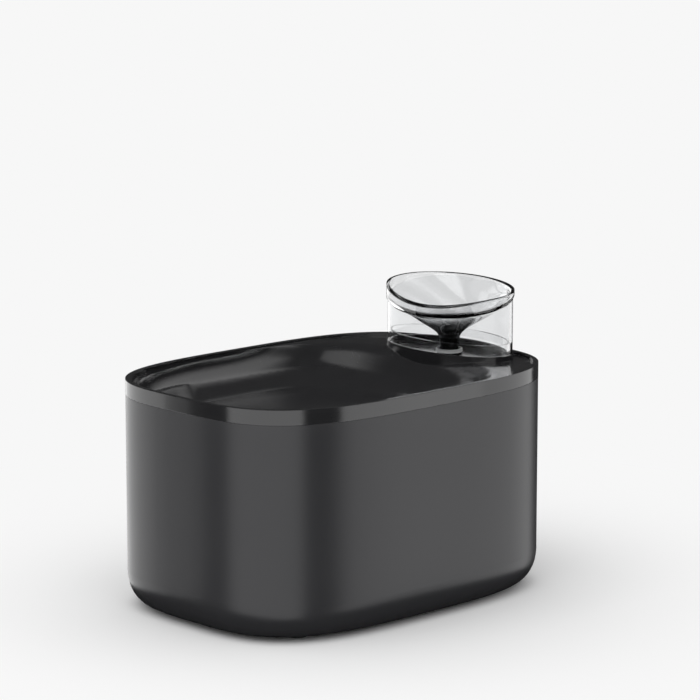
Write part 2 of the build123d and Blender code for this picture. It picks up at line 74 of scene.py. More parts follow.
class RayKind(Enum):
    """Kinds of light path that the studio tells apart."""

    CAMERA = "Is Camera Ray"
    GLOSSY = "Is Glossy Ray"
    TRANSMISSION = "Is Transmission Ray"


# ---------------------------------------------------------------- node helpers


def grey(value: float) -> tuple[float, float, float, float]:
    """Opaque grey of one brightness."""
    return (value, value, value, 1.0)


def shifted(colour: Colour, gain: float, lift: float = 0.0) -> Colour:
    """Scales a colour and lifts it, up to white.

    Args:
        colour: the colour.
        gain: what it is multiplied by.
        lift: what is added to it.

    Returns:
        The new colour.
    """
    return tuple(min(1.0, gain * part + lift) for part in colour)


class NodeSheet:
    """One node tree, with short calls that add and join nodes."""

    def __init__(self, tree: bpy.types.NodeTree) -> None:
        """Keeps the tree.

        Args:
            tree: the node tree that the calls add to.
        """
        self.tree = tree

    def add(self, kind: str, **values: object) -> Node:
        """Adds a node and sets its properties or input values.

        Args:
            kind: the node's type name.
            **values: property names, or input names with underscores for spaces.

        Returns:
            The new node.
        """
        node = self.tree.nodes.new(kind)
        for name, value in values.items():
            if hasattr(node, name):
                setattr(node, name, value)
            else:
                node.inputs[name.replace("_", " ")].default_value = value
        return node

    def join(self, source: Socket, target: Socket) -> None:
        """Links an output to an input."""
        self.tree.links.new(source, target)

    def math(
        self, operation: str, first: Socket | float, second: Socket | float = 0.0, clamp: bool = False
    ) -> Socket:
        """Adds one arithmetic step.

        Args:
            operation: the math node's operation.
            first: a socket or a number.
            second: a socket or a number.
            clamp: whether the result is held between 0 and 1.

        Returns:
            The result's socket.
        """
        node = self.add("ShaderNodeMath", operation=operation, use_clamp=clamp)
        for slot, value in enumerate((first, second)):
            if isinstance(value, Socket):
                self.join(value, node.inputs[slot])
            else:
                node.inputs[slot].default_value = value
        return node.outputs[0]

    def fade(self, value: Socket, start: float, end: float) -> Socket:
        """Smooth step from 0 at start to 1 at end.

        Args:
            value: the socket that is compared.
            start: where the fade starts.
            end: where the fade is complete.

        Returns:
            The result's socket.
        """
        node = self.add("ShaderNodeMapRange", interpolation_type="SMOOTHSTEP")
        node.inputs["From Min"].default_value = start
        node.inputs["From Max"].default_value = end
        self.join(value, node.inputs["Value"])
        return node.outputs["Result"]

    def blend(self, mask: Socket, low: Socket | Colour, high: Socket | Colour) -> Socket:
        """Mixes two colours by a mask.

        Args:
            mask: 0 gives low and 1 gives high.
            low: a colour socket or a colour.
            high: a colour socket or a colour.

        Returns:
            The mixed colour's socket.
        """
        node = self.add("ShaderNodeMix", data_type="RGBA")
        self.join(mask, node.inputs["Factor"])
        for name, value in (("A", low), ("B", high)):
            socket = next(s for s in node.inputs if s.name == name and s.type == "RGBA")
            if isinstance(value, Socket):
                self.join(value, socket)
            else:
                socket.default_value = (*value, 1.0)
        return next(s for s in node.outputs if s.type == "RGBA")


def empty_material(name: str) -> tuple[bpy.types.Material, NodeSheet]:
    """Makes a material without nodes.

    Args:
        name: the material's name.

    Returns:
        The material and its sheet.
    """
    made = bpy.data.materials.new(name)
    made.use_nodes = True
    made.node_tree.nodes.clear()
    return made, NodeSheet(made.node_tree)


class SurfaceGroups:
    """Shared surface effects, each built once as a node group."""

    # Orange peel: its scale as a share of the fine grain's.
    PEEL_SHARE = 0.22
    # Wear starts at this share of the group's Reach and grows by this gain.
    WEAR_START = 0.9
    WEAR_GAIN = 9.0
    # Dust starts to lie at the first upward slope and lies fully at the second.
    DUST_SLOPES = (0.35, 0.95)
    # Felt: the turns of its two layers, the fibres' stretch and the needle pits' reach.
    FIBRE_TURNS = (0.5, 2.1)
    FIBRE_STRETCH = 0.16
    PIT_REACH = 0.35
    BEVEL_SAMPLES = 6

    def __init__(self) -> None:
        """Builds every group."""
        self.grain = self._grain()
        self.mottle = self._mottle()
        self.edges = self._edges()
        self.dust = self._dust()
        self.fibres = self._fibres()
        self.soft_edges = self._soft_edges()

    @staticmethod
    def _start(
        name: str, inputs: dict[str, float], outputs: tuple[str, ...]
    ) -> tuple[NodeSheet, Node, Node]:
        """Starts a group with number sockets.

        Args:
            name: the group's name.
            inputs: the inputs' names and default values.
            outputs: the outputs' names.

        Returns:
            The sheet, the group's input node and its output node.
        """
        tree = bpy.data.node_groups.new(name, "ShaderNodeTree")
        for label, value in inputs.items():
            socket = tree.interface.new_socket(label, in_out="INPUT", socket_type="NodeSocketFloat")
            socket.default_value = value
        for label in outputs:
            tree.interface.new_socket(label, in_out="OUTPUT", socket_type="NodeSocketFloat")
        sheet = NodeSheet(tree)
        return sheet, sheet.add("NodeGroupInput"), sheet.add("NodeGroupOutput")

    def _grain(self) -> bpy.types.NodeTree:
        """Spark-eroded mould texture: fine pits over a slightly coarser orange peel.

        Returns:
            The group's node tree.
        """
        sheet, given, made = self._start("mould_grain", {"Scale": 900.0, "Coarse Share": 0.3}, ("Height",))
        place = sheet.add("ShaderNodeTexCoord").outputs["Object"]
        fine = sheet.add("ShaderNodeTexNoise", Detail=3.0, Roughness=0.6)
        sheet.join(place, fine.inputs["Vector"])
        sheet.join(given.outputs["Scale"], fine.inputs["Scale"])
        coarse = sheet.add("ShaderNodeTexNoise", Detail=1.0)
        sheet.join(place, coarse.inputs["Vector"])
        sheet.join(sheet.math("MULTIPLY", given.outputs["Scale"], self.PEEL_SHARE), coarse.inputs["Scale"])
        share = sheet.math("MULTIPLY", coarse.outputs["Fac"], given.outputs["Coarse Share"])
        sheet.join(sheet.math("ADD", fine.outputs["Fac"], share), made.inputs["Height"])
        return sheet.tree

    def _mottle(self) -> bpy.types.NodeTree:
        """Slow variation of gloss and tone, as in moulded plastic that has been handled.

        Returns:
            The group's node tree.
        """
        sheet, given, made = self._start("soft_mottle", {"Scale": 18.0, "Strength": 0.1}, ("Shift",))
        place = sheet.add("ShaderNodeTexCoord").outputs["Object"]
        cloud = sheet.add("ShaderNodeTexNoise", Detail=4.0, Roughness=0.55, Distortion=0.4)
        sheet.join(place, cloud.inputs["Vector"])
        sheet.join(given.outputs["Scale"], cloud.inputs["Scale"])
        centred = sheet.math("SUBTRACT", cloud.outputs["Fac"], 0.5)
        sheet.join(sheet.math("MULTIPLY", centred, given.outputs["Strength"]), made.inputs["Shift"])
        return sheet.tree

    def _edges(self) -> bpy.types.NodeTree:
        """Mask of proud edges, broken up as light handling wear.

        Returns:
            The group's node tree.
        """
        sheet, given, made = self._start("edge_wear", {"Reach": 0.56, "Break Up": 60.0}, ("Mask",))
        proud = sheet.add("ShaderNodeNewGeometry").outputs["Pointiness"]
        start = sheet.math("MULTIPLY", given.outputs["Reach"], self.WEAR_START)
        crest = sheet.math("MULTIPLY", sheet.math("SUBTRACT", proud, start), self.WEAR_GAIN, clamp=True)
        place = sheet.add("ShaderNodeTexCoord").outputs["Object"]
        chips = sheet.add("ShaderNodeTexNoise", Detail=5.0)
        sheet.join(place, chips.inputs["Vector"])
        sheet.join(given.outputs["Break Up"], chips.inputs["Scale"])
        sheet.join(sheet.math("MULTIPLY", crest, chips.outputs["Fac"], clamp=True), made.inputs["Mask"])
        return sheet.tree

    def _dust(self) -> bpy.types.NodeTree:
        """Mask of fine settled dust on faces that look up.

        Returns:
            The group's node tree.
        """
        sheet, given, made = self._start("settled_dust", {"Amount": 0.2, "Scale": 140.0}, ("Mask",))
        normal = sheet.add("ShaderNodeNewGeometry").outputs["Normal"]
        apart = sheet.add("ShaderNodeSeparateXYZ")
        sheet.join(normal, apart.inputs[0])
        upward = sheet.fade(apart.outputs["Z"], *self.DUST_SLOPES)
        place = sheet.add("ShaderNodeTexCoord").outputs["Object"]
        specks = sheet.add("ShaderNodeTexNoise", Detail=6.0, Roughness=0.7)
        sheet.join(place, specks.inputs["Vector"])
        sheet.join(given.outputs["Scale"], specks.inputs["Scale"])
        lying = sheet.math("MULTIPLY", upward, specks.outputs["Fac"])
        sheet.join(sheet.math("MULTIPLY", lying, given.outputs["Amount"], clamp=True), made.inputs["Mask"])
        return sheet.tree

    def _fibres(self) -> bpy.types.NodeTree:
        """Needle felt: crossing stretched fibres and needle pits.

        Returns:
            The group's node tree.
        """
        sheet, given, made = self._start("felt_fibres", {"Scale": 260.0, "Pits": 0.5}, ("Height", "Fibre"))
        place = sheet.add("ShaderNodeTexCoord").outputs["Object"]
        strands = []
        for turn in self.FIBRE_TURNS:
            laid = sheet.add("ShaderNodeMapping")
            laid.inputs["Rotation"].default_value = (0.0, 0.0, turn)
            laid.inputs["Scale"].default_value = (1.0, self.FIBRE_STRETCH, 1.0)
            sheet.join(place, laid.inputs["Vector"])
            wisps = sheet.add("ShaderNodeTexNoise", Detail=5.0, Roughness=0.65, Distortion=1.2)
            sheet.join(laid.outputs[0], wisps.inputs["Vector"])
            sheet.join(given.outputs["Scale"], wisps.inputs["Scale"])
            strands.append(wisps.outputs["Fac"])
        fibre = sheet.math("MAXIMUM", strands[0], strands[1])
        pits = sheet.add("ShaderNodeTexVoronoi", feature="F1")
        sheet.join(place, pits.inputs["Vector"])
        sheet.join(given.outputs["Scale"], pits.inputs["Scale"])
        pit = sheet.fade(pits.outputs["Distance"], 0.0, self.PIT_REACH)
        depth = sheet.math("MULTIPLY", pit, given.outputs["Pits"])
        sheet.join(sheet.math("ADD", fibre, depth), made.inputs["Height"])
        sheet.join(fibre, made.inputs["Fibre"])
        return sheet.tree

    def _soft_edges(self) -> bpy.types.NodeTree:
        """Normal that rounds moulded edges by a small radius.

        Returns:
            The group's node tree.
        """
        sheet, given, made = self._start("soft_edges", {"Radius": 0.0006}, ())
        sheet.tree.interface.new_socket("Normal", in_out="OUTPUT", socket_type="NodeSocketVector")
        bevel = sheet.add("ShaderNodeBevel", samples=self.BEVEL_SAMPLES)
        sheet.join(given.outputs["Radius"], bevel.inputs["Radius"])
        sheet.join(bevel.outputs["Normal"], made.inputs["Normal"])
        return sheet.tree


GROUPS = SurfaceGroups()


# ---------------------------------------------------------------- finishes


@dataclass(frozen=True)
class Finish:
    """A surface finish that makes its material once."""

    name: str
    slot: str
    colour: Colour

    def material(self) -> bpy.types.Material:
        """Gives the finish's material, making it on the first call.

        Returns:
            The material.
        """
        known = bpy.data.materials.get(self.name)
        if known is not None:
            return known
        made, sheet = empty_material(self.name)
        shader = sheet.add("ShaderNodeBsdfPrincipled")
        shader.inputs["Base Color"].default_value = (*self.colour, 1.0)
        sheet.join(shader.outputs["BSDF"], sheet.add("ShaderNodeOutputMaterial").inputs["Surface"])
        self.treat(sheet, shader)
        return made

    def treat(self, sheet: NodeSheet, shader: Node) -> None:
        """Gives the shader its surface. Each kind of finish has its own.

        Args:
            sheet: the material's nodes.
            shader: the Principled node.
        """
        raise NotImplementedError

    @staticmethod
    def group(sheet: NodeSheet, tree: bpy.types.NodeTree, **values: float) -> Node:
        """Places a shared group in the material.

        Args:
            sheet: the material's nodes.
            tree: the shared group.
            **values: the group's input values, with underscores for spaces.

        Returns:
            The group node.
        """
        node = sheet.add("ShaderNodeGroup", node_tree=tree)
        for name, value in values.items():
            node.inputs[name.replace("_", " ")].default_value = value
        return node

    @staticmethod
    def bump(sheet: NodeSheet, shader: Node, height: Socket, strength: float, depth: float) -> Node:
        """Feeds a height into the shader's normal.

        Args:
            sheet: the material's nodes.
            shader: the Principled node.
            height: the height's socket.
            strength: how much of the bump shows.
            depth: the bump's depth in metres.

        Returns:
            The bump node.
        """
        node = sheet.add("ShaderNodeBump", Strength=strength, Distance=depth)
        sheet.join(height, node.inputs["Height"])
        sheet.join(node.outputs["Normal"], shader.inputs["Normal"])
        return node


@dataclass(frozen=True)
class MouldedPlastic(Finish):
    """Injection-moulded plastic with a mould texture, a little wear and a little dust."""

    roughness: float = 0.45
    specular: float = 0.5
    grain_scale: float = 900.0
    grain_depth: float = 0.00006
    grain_strength: float = 0.35
    mottle: float = 0.08
    wear: float = 0.25
    dust: float = 0.05
    dust_matting: float = 0.3
    edge_radius: float = 0.0006

    def treat(self, sheet: NodeSheet, shader: Node) -> None:
        """Adds grain, gloss variation, pale worn edges and dust.

        Args:
            sheet: the material's nodes.
            shader: the Principled node.
        """
        shader.inputs["Specular IOR Level"].default_value = self.specular
        shift = self.group(sheet, GROUPS.mottle, Strength=self.mottle).outputs["Shift"]
        wear = self.group(sheet, GROUPS.edges).outputs["Mask"]
        dust = self.group(sheet, GROUPS.dust, Amount=self.dust).outputs["Mask"]
        worn = shifted(self.colour, gain=1.5, lift=0.02)
        tone = sheet.blend(sheet.math("MULTIPLY", wear, self.wear), self.colour, worn)
        dusty = shifted(self.colour, gain=0.6, lift=0.2)
        sheet.join(sheet.blend(dust, tone, dusty), shader.inputs["Base Color"])
        rough = sheet.math("ADD", shift, self.roughness)
        rough = sheet.math("ADD", rough, sheet.math("MULTIPLY", dust, self.dust_matting), clamp=True)
        sheet.join(rough, shader.inputs["Roughness"])
        grain = self.group(sheet, GROUPS.grain, Scale=self.grain_scale).outputs["Height"]
        relief = self.bump(sheet, shader, grain, self.grain_strength, self.grain_depth)
        rounded = self.group(sheet, GROUPS.soft_edges, Radius=self.edge_radius).outputs["Normal"]
        sheet.join(rounded, relief.inputs["Normal"])


@dataclass(frozen=True)
class ClearPlastic(Finish):
    """Clear moulded plastic, with an optional smoke tint that fades out upwards."""

    roughness: float = 0.02
    ior: float = 1.49
    smoke: Colour = (1.0, 1.0, 1.0)
    smoke_full_z: float = 0.0
    smoke_end_z: float = 0.001

    def treat(self, sheet: NodeSheet, shader: Node) -> None:
        """Makes the shader transmit, with a faint flow texture and the smoke tint.

        Args:
            sheet: the material's nodes.
            shader: the Principled node.
        """
        shader.inputs["Transmission Weight"].default_value = 1.0
        shader.inputs["Metallic"].default_value = 0.0
        shader.inputs["IOR"].default_value = self.ior
        place = sheet.add("ShaderNodeTexCoord").outputs["Object"]
        apart = sheet.add("ShaderNodeSeparateXYZ")
        sheet.join(place, apart.inputs[0])
        rise = sheet.fade(apart.outputs["Z"], self.smoke_full_z, self.smoke_end_z)
        sheet.join(sheet.blend(rise, self.smoke, self.colour), shader.inputs["Base Color"])
        shift = self.group(sheet, GROUPS.mottle, Scale=40.0, Strength=0.03).outputs["Shift"]
        sheet.join(sheet.math("ADD", shift, self.roughness, clamp=True), shader.inputs["Roughness"])
        flow = sheet.add("ShaderNodeTexNoise", Scale=55.0, Detail=1.0)
        sheet.join(place, flow.inputs["Vector"])
        self.bump(sheet, shader, flow.outputs["Fac"], strength=0.04, depth=0.0004)


@dataclass(frozen=True)
class SoftRubber(Finish):
    """Matte rubber or silicone with a dry, slightly bloomed surface."""

    roughness: float = 0.7
    bloom_share: float = 0.25

    def treat(self, sheet: NodeSheet, shader: Node) -> None:
        """Adds bloom in the tone and a powdery grain.

        Args:
            sheet: the material's nodes.
            shader: the Principled node.
        """
        shift = self.group(sheet, GROUPS.mottle, Scale=120.0, Strength=0.25).outputs["Shift"]
        bloom = shifted(self.colour, gain=0.8, lift=0.06)
        mask = sheet.math("ADD", shift, self.bloom_share, clamp=True)
        sheet.join(sheet.blend(mask, self.colour, bloom), shader.inputs["Base Color"])
        sheet.join(sheet.math("ADD", shift, self.roughness, clamp=True), shader.inputs["Roughness"])
        grain = self.group(sheet, GROUPS.grain, Scale=1600.0, Coarse_Share=0.6).outputs["Height"]
        self.bump(sheet, shader, grain, strength=0.3, depth=0.00005)


@dataclass(frozen=True)
class NeedleFelt(Finish):
    """Pressed filter felt."""

    shade: Colour = (0.5, 0.5, 0.5)
    roughness: float = 0.95
    sheen: float = 0.3

    def treat(self, sheet: NodeSheet, shader: Node) -> None:
        """Adds fibres to the tone and the height, and a soft sheen.

        Args:
            sheet: the material's nodes.
            shader: the Principled node.
        """
        fibres = self.group(sheet, GROUPS.fibres)
        mask = sheet.fade(fibres.outputs["Fibre"], start=0.35, end=0.75)
        sheet.join(sheet.blend(mask, self.shade, self.colour), shader.inputs["Base Color"])
        shader.inputs["Roughness"].default_value = self.roughness
        shader.inputs["Sheen Weight"].default_value = self.sheen
        self.bump(sheet, shader, fibres.outputs["Height"], strength=0.6, depth=0.0004)


@dataclass(frozen=True)
class CarbonGranules(Finish):
    """Bed of crushed black carbon."""

    smoothest: float = 0.35
    gloss_spread: float = 0.5

    def treat(self, sheet: NodeSheet, shader: Node) -> None:
        """Breaks the surface into granules, each with its own tone and gloss.

        Args:
            sheet: the material's nodes.
            shader: the Principled node.
        """
        place = sheet.add("ShaderNodeTexCoord").outputs["Object"]
        cells = sheet.add("ShaderNodeTexVoronoi", Scale=900.0)
        sheet.join(place, cells.inputs["Vector"])
        tone = sheet.add("ShaderNodeSeparateColor")
        sheet.join(cells.outputs["Color"], tone.inputs[0])
        pale = shifted(self.colour, gain=2.6)
        sheet.join(sheet.blend(tone.outputs[0], self.colour, pale), shader.inputs["Base Color"])
        gloss = sheet.math("ADD", sheet.math("MULTIPLY", tone.outputs[1], self.gloss_spread), self.smoothest)
        sheet.join(gloss, shader.inputs["Roughness"])
        self.bump(sheet, shader, cells.outputs["Distance"], strength=0.8, depth=-0.0006)


@dataclass(frozen=True)
class Sintered(Finish):
    """Pressed and fired material, such as ceramic or ferrite."""

    roughness: float = 0.3
    grain_strength: float = 0.2
    dim_share: float = 0.4

    def treat(self, sheet: NodeSheet, shader: Node) -> None:
        """Adds a close grain and small differences in tone.

        Args:
            sheet: the material's nodes.
            shader: the Principled node.
        """
        shift = self.group(sheet, GROUPS.mottle, Scale=300.0, Strength=0.2).outputs["Shift"]
        mask = sheet.math("ADD", shift, self.dim_share, clamp=True)
        tone = sheet.blend(mask, self.colour, shifted(self.colour, gain=0.8))
        sheet.join(tone, shader.inputs["Base Color"])
        sheet.join(sheet.math("ADD", shift, self.roughness, clamp=True), shader.inputs["Roughness"])
        grain = self.group(sheet, GROUPS.grain, Scale=2500.0).outputs["Height"]
        self.bump(sheet, shader, grain, self.grain_strength, depth=0.00003)


@dataclass(frozen=True)
class Finishes:
    """Every finish of the fountain."""

    tank: Finish = MouldedPlastic(
        "matte_charcoal_tank", "tank", (0.0245, 0.0245, 0.0265), roughness=0.3, specular=0.29
    )
    tray: Finish = MouldedPlastic(
        "satin_charcoal_tray",
        "tray",
        (0.014, 0.014, 0.015),
        roughness=0.13,
        grain_strength=0.08,
        mottle=0.04,
        edge_radius=0.0004,
    )
    cassette: Finish = MouldedPlastic("satin_cassette", "cassette", (0.022, 0.022, 0.023), roughness=0.35)
    rubber: Finish = SoftRubber("black_rubber", "rubber", (0.02, 0.02, 0.02))
    silicone: Finish = SoftRubber("clear_grey_silicone", "silicone", (0.55, 0.55, 0.55), roughness=0.5)
    dark_silicone: Finish = SoftRubber("dark_silicone", "silicone", (0.03, 0.03, 0.03), roughness=0.5)
    filter_plastic: Finish = MouldedPlastic(
        "pale_grey_filter", "filter_plastic", (0.47, 0.47, 0.47), roughness=0.5, wear=0.0
    )
    felt: Finish = NeedleFelt("grey_white_felt", "felt", (0.66, 0.66, 0.65), shade=(0.46, 0.46, 0.46))
    carbon: Finish = CarbonGranules("black_carbon", "carbon", (0.012, 0.012, 0.012))
    funnel: Finish = ClearPlastic(
        "smoke_tinted_clear",
        "smoke_clear",
        (0.80, 0.805, 0.81),
        smoke=(0.04, 0.042, 0.044),
        smoke_full_z=0.1405,
        smoke_end_z=0.149,
    )
    clear: Finish = ClearPlastic("clear_shroud", "clear", (0.9, 0.905, 0.91), ior=1.2)
    stem: Finish = ClearPlastic("clear_stem", "clear", (0.83, 0.835, 0.84), ior=1.012)
    riser: Finish = MouldedPlastic(
        "pale_riser",
        "riser",
        (0.97, 0.97, 0.975),
        roughness=0.45,
        specular=0.7,
        wear=0.0,
        dust=0.0,
        edge_radius=0.00012,
    )
    pump: Finish = MouldedPlastic("black_pump", "pump", (0.02, 0.02, 0.022), roughness=0.38)
    ceramic: Finish = Sintered("white_ceramic", "ceramic", (0.8, 0.79, 0.75), roughness=0.18)
    magnet: Finish = Sintered(
        "dark_ferrite", "magnet", (0.06, 0.06, 0.06), roughness=0.45, grain_strength=0.5
    )
    impeller: Finish = MouldedPlastic("pale_impeller", "impeller", (0.6, 0.6, 0.6), roughness=0.35, wear=0.0)


FINISHES = Finishes()


# ---------------------------------------------------------------- making pieces


@dataclass(frozen=True)
class SolidBox:
    """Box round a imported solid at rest."""

    low: Vector
    high: Vector

    @classmethod
    def of(cls, node: str) -> "SolidBox":
        """Reads the box of a node from its imported mesh.

        Args:
            node: the node's name.

        Returns:
            Its box.
        """
        low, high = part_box(node)
        return cls(Vector(low), Vector(high))

    @property
    def middle(self) -> Vector:
        """The box's middle."""
        return (self.low + self.high) / 2


def dress(nodes: dict[str, Finish]) -> None:
    """Gives CAD nodes their finishes.

    Args:
        nodes: node names with their finishes.
    """
    for name, finish in nodes.items():
        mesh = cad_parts[name].data
        mesh.materials.clear()
        mesh.materials.append(finish.material())
        LOG.info("dressed %s in %s", name, finish.name)


def add_piece(name: str, bm: bmesh.types.BMesh, finish: Finish, body: Body) -> bpy.types.Object:
    """Turns a built mesh into a finished piece on a body.

    Args:
        name: the piece's name.
        bm: the built mesh, which is freed.
        finish: its finish.
        body: the body that it rides on.

    Returns:
        The new object.
    """
    bmesh.ops.recalc_face_normals(bm, faces=bm.faces)
    mesh = bpy.data.meshes.new(name)
    bm.to_mesh(mesh)
    bm.free()
    mesh.shade_smooth()
    mesh.materials.append(finish.material())
    piece = bpy.data.objects.new(name, mesh)
    bpy.context.scene.collection.objects.link(piece)
    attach(piece, body.value)
    LOG.info("built %s with %d faces", name, len(mesh.polygons))
    return piece


def soft_step(value: float, start: float, end: float) -> float:
    """Smooth step from 0 at start to 1 at end.

    Args:
        value: the value.
        start: where the step starts.
        end: where it ends.

    Returns:
        The step's height.
    """
    t = min(max((value - start) / (end - start), 0.0), 1.0)
    return t * t * (3.0 - 2.0 * t)


def turns(count: int) -> list[float]:
    """Evenly spaced angles of a full turn, in radians.

    Args:
        count: how many.

    Returns:
        The angles.
    """
    return [2 * math.pi * step / count for step in range(count)]


def tube_skin(rows: list[list[Vector]]) -> bmesh.types.BMesh:
    """Closes a stack of rings into a skin that joins its last ring to its first.

    Args:
        rows: rings of equal length, in order round the wall's section.

    Returns:
        The mesh.
    """
    bm = bmesh.new()
    rings = [[bm.verts.new(point) for point in row] for row in rows]
    count = len(rings[0])
    for index, ring in enumerate(rings):
        above = rings[(index + 1) % len(rings)]
        for step in range(count):
            after = (step + 1) % count
            bm.faces.new((ring[step], ring[after], above[after], above[step]))
    return bm


# ---------------------------------------------------------------- sub-assemblies


@dataclass
class Tank:
    """Tank with its feet and the cable outlet."""

    def build(self) -> None:
        """Dresses the tank's nodes."""
        dress({
            "tank_shell": FINISHES.tank,
            "rubber_feet": FINISHES.rubber,
            "outlet_grommet": FINISHES.rubber,
        })


@dataclass
class Pump:
    """Submersible pump with its rotor."""

    def build(self) -> None:
        """Dresses the pump's nodes."""
        dress({
            "pump_body": FINISHES.pump,
            "pump_volute": FINISHES.pump,
            "intake_screen": FINISHES.pump,
            "suction_cups": FINISHES.rubber,
            "shaft_bushes": FINISHES.rubber,
            "pump_gland": FINISHES.rubber,
            "nipple_seal": FINISHES.silicone,
            "rotor_shaft": FINISHES.ceramic,
            "rotor_magnet": FINISHES.magnet,
            "impeller": FINISHES.impeller,
        })


@dataclass
class DrinkingTray:
    """Tray with the filter housing, the strainer and the stem's seal."""

    housing: SolidBox = field(default_factory=lambda: SolidBox.of("filter_housing"))
    grille: SolidBox = field(default_factory=lambda: SolidBox.of("drain_grille"))
    # Heights of the plug skirt's lower end, and of the deck, with which a step inside the lip is level.
    skirt_bottom: float = 115.7 * MM
    deck: float = 127.1 * MM
    # How far a point may be off a face and still count as on it.
    margin: float = 0.12 * MM
    # The step rises between these distances from the middle towards -X.
    lip_lift: float = 1.3 * MM
    lip_from: float = -20.0 * MM
    lip_full: float = 40.0 * MM
    # Shares of the bowl's depth below the skirt that stay in its middle, and beside the housing.
    hull_depth: float = 0.75
    beside_depth: float = 0.04
    # Distances from the middle plane between which a place counts more and more as beside the housing.
    beside_start: float = 26.0 * MM
    beside_end: float = 39.0 * MM
    # Distances past the housing's end in which the hull reaches its middle depth, off the middle plane and on
    # it. A slant below zero starts the first of them later, the further out a place is.
    hull_run: float = 18.0 * MM
    behind_run: float = 40.0 * MM
    hull_slant: float = -0.8
    # Ledge of the solid beside the housing, which the shell draws in.
    ledge: float = 2.3 * MM
    # Mesh: longest edges, rounds of splitting, and rounds and reach of smoothing past the housing's end.
    longest_edge: float = 5.0 * MM
    fine_edge: float = 1.8 * MM
    splits: int = 6
    relaxing: int = 8
    joint_run: float = 12.0 * MM
    # Cheeks: how proud of the housing they stand, and how far inside its end and its lower edge they start.
    cheek_proud: float = 0.4 * MM
    cheek_setback: float = 3.5 * MM
    cheek_rise: float = 0.1 * MM
    # Edges that turn by more than this stay sharp, in degrees.
    crease: float = 50.0

    @property
    def housing_end_x(self) -> float:
        """The housing's inner end."""
        return self.housing.high.x

    @property
    def housing_half_y(self) -> float:
        """Half the housing's width."""
        return self.housing.high.y

    @property
    def shelf_underside(self) -> float:
        """Height of the overflow shelf's underside, which the housing hangs from."""
        return self.housing.high.z

    @property
    def shelf_top(self) -> float:
        """Height of the overflow shelf's top, level with its strainer."""
        return self.grille.high.z

    def build(self) -> None:
        """Dresses the tray's nodes and builds its shell."""
        dress({
            "lid_tray": FINISHES.tray,
            "filter_housing": FINISHES.tray,
            "drain_grille": FINISHES.tray,
            "stem_seal": FINISHES.dark_silicone,
        })
        self.shell()

    def depth(self, place: Vector) -> float:
        """Share of the solid's depth below the skirt that the shell keeps at a place.

        Args:
            place: a point of the solid.

        Returns:
            1 for the full depth, 0 for none.
        """
        out = abs(place.y)
        beside = soft_step(out, self.beside_start, self.beside_end)
        reach = place.x - self.housing_end_x + self.hull_slant * (out - self.housing_half_y)
        regained = (self.hull_depth - self.beside_depth) * soft_step(reach, 0.0, self.hull_run)
        side = self.beside_depth + regained
        along = soft_step(place.x - self.housing_end_x, 0.0, self.behind_run)
        middle = 1.0 + (self.hull_depth - 1.0) * along
        return middle + (side - middle) * beside

    def edge_limit(self, ends: Vector) -> float:
        """Longest edge that the shell keeps at a place: short ones where the bowl meets the housing.

        Args:
            ends: the sum of an edge's two ends.

        Returns:
            The limit.
        """
        near = ends.x / 2 < self.housing_end_x + self.behind_run and abs(ends.y) / 2 > self.beside_start
        return self.fine_edge if near else self.longest_edge

    def on_shelf(self, place: Vector) -> bool:
        """Whether a point is on the overflow shelf over the housing, which stays as it is.

        Args:
            place: a point of the solid.

        Returns:
            True on the shelf.
        """
        slack = self.margin if place.z < self.shelf_underside + self.margin else self.margin / 3
        return (
            place.z > self.shelf_underside - self.margin
            and place.x < self.housing_end_x + slack
            and abs(place.y) < self.housing_half_y + slack
        )

    def settle(self, place: Vector) -> Vector:
        """Place of a point of the solid on the shell, whose bowl is shallower and ends beside the housing.

        Args:
            place: a point of the solid.

        Returns:
            The point on the shell.
        """
        if abs(place.z - self.deck) < self.margin:
            lift = self.lip_lift * soft_step(-place.x, self.lip_from, self.lip_full)
            return Vector((place.x, place.y, place.z + lift))
        if place.z >= self.skirt_bottom or self.on_shelf(place):
            return place.copy()
        below = self.skirt_bottom - place.z
        settled = Vector((place.x, place.y, self.skirt_bottom - below * self.depth(place)))
        beside = self.housing_half_y < abs(place.y) < self.housing_half_y + self.ledge
        if beside and place.x < self.housing_end_x + self.margin:
            settled.y = math.copysign(self.housing_half_y - self.margin, place.y)
            if place.z > self.shelf_top - self.margin:
                settled.z = place.z
        return settled

    def at_joint(self, place: Vector) -> bool:
        """Whether a point is on the bowl's skin where it leaves the corners of the housing's inner end.

        Args:
            place: a point of the shell.

        Returns:
            True near those corners.
        """
        return (
            self.housing_end_x + self.margin < place.x < self.housing_end_x + self.joint_run
            and abs(place.y) > self.beside_start - self.ledge
            and place.z < self.skirt_bottom - self.margin
        )

    def cheek(self, bm: bmesh.types.BMesh, side: float) -> None:
        """Adds the flat cheek that closes the housing's side up to the skirt.

        Args:
            bm: the shell's mesh.
            side: -1 for the front, 1 for the rear.
        """
        inner, outer = self.housing_half_y - self.margin, self.housing_half_y + self.cheek_proud
        start, end = self.housing.low.x + self.cheek_setback, self.housing_end_x
        bottom, top = self.housing.low.z + self.cheek_rise, self.skirt_bottom
        made = bmesh.ops.create_cube(bm, size=1.0)["verts"]
        size = Vector((end - start, outer - inner, top - bottom))
        middle = Vector(((end + start) / 2, side * (inner + outer) / 2, (top + bottom) / 2))
        bmesh.ops.scale(bm, vec=size, verts=made)
        bmesh.ops.translate(bm, vec=middle, verts=made)

    @staticmethod
    def copied_solid() -> bmesh.types.BMesh:
        """Copies the solid's faces into a mesh of the shell's own, with the seams joined.

        Returns:
            The mesh.
        """
        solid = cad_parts["lid_tray"].data
        bm = bmesh.new()
        verts = [bm.verts.new(vert.co) for vert in solid.vertices]
        for polygon in solid.polygons:
            bm.faces.new([verts[index] for index in polygon.vertices])
        bmesh.ops.remove_doubles(bm, verts=bm.verts, dist=0.001 * MM)
        return bm

